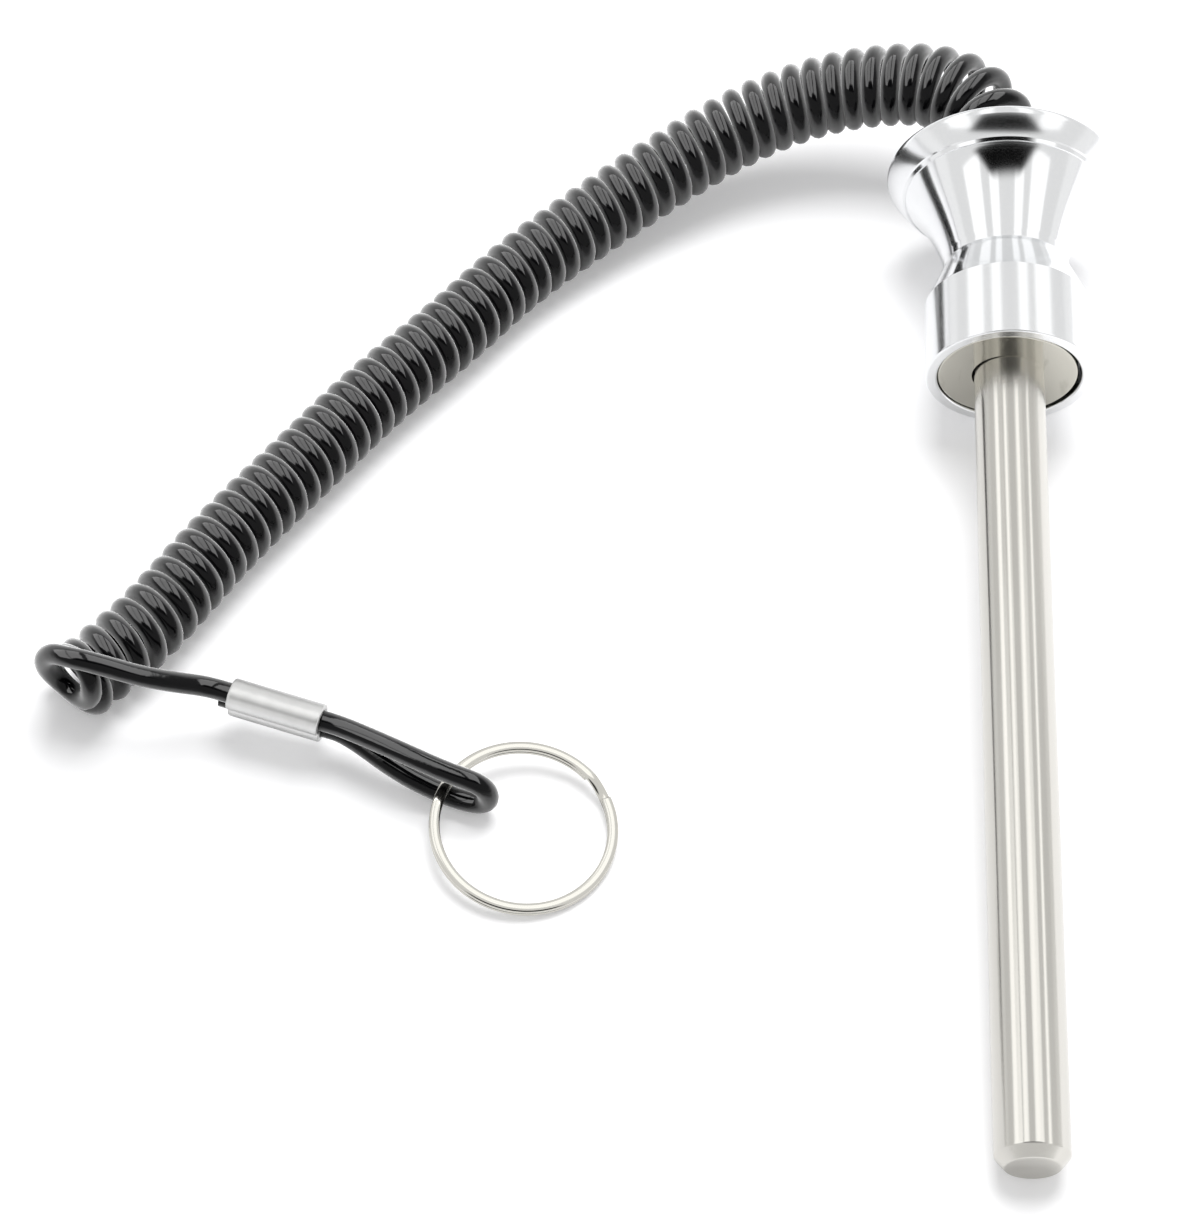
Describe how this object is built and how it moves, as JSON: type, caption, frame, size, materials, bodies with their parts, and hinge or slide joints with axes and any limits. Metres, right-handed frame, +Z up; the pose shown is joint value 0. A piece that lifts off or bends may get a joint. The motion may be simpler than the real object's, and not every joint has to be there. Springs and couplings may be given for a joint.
{
  "type": "weight stack pin",
  "caption": "Magnetic selector pin for a weight stack: steel rod, turned aluminium knob with a ring magnet in its collar, coiled cord lanyard with a crimped loop and a split ring.",
  "frame": {"origin": "middle of the pin itself (knob, magnet and shaft), at the height of the surface that it lies on; the lanyard and its ring aren't counted", "axes": "+Y along the pin from its tip to its knob, +Z up from the surface it lies on, +X to the right when looking from tip to knob; the lanyard lies on the -X side"},
  "size_m": [0.1443, 0.1694, 0.0322],
  "materials": {
    "polished_aluminium": "turned, satin on the collar and polished on the neck and rim",
    "nickel_magnet": "bright nickel plate on a ring magnet",
    "stainless_steel": "bright drawn rod with fine lengthwise streaks",
    "crimp_aluminium": "bright, lightly marked by the crimping tool",
    "black_cord": "glossy black plastic sleeve",
    "nickel_wire": "bright nickel plate, a little warm"
  },
  "bodies": {
    "pin": {"knob": "polished_aluminium", "ring_magnet": "nickel_magnet", "selector_shaft": "stainless_steel", "cord_stop": "crimp_aluminium", "cord_lead": "black_cord", "cord_coil": "black_cord", "cord_tail": "black_cord", "crimp_sleeve": "crimp_aluminium"},
    "ring": {"split_ring": "nickel_wire"}
  },
  "joints": [
    {"name": "ring_swing", "type": "hinge", "parent": "pin", "child": "ring", "pos_m": [-0.07197, -0.01935, 0.00422], "axis": [-0.6561, -0.7547, 0], "range_deg": [0, 120]}
  ]
}
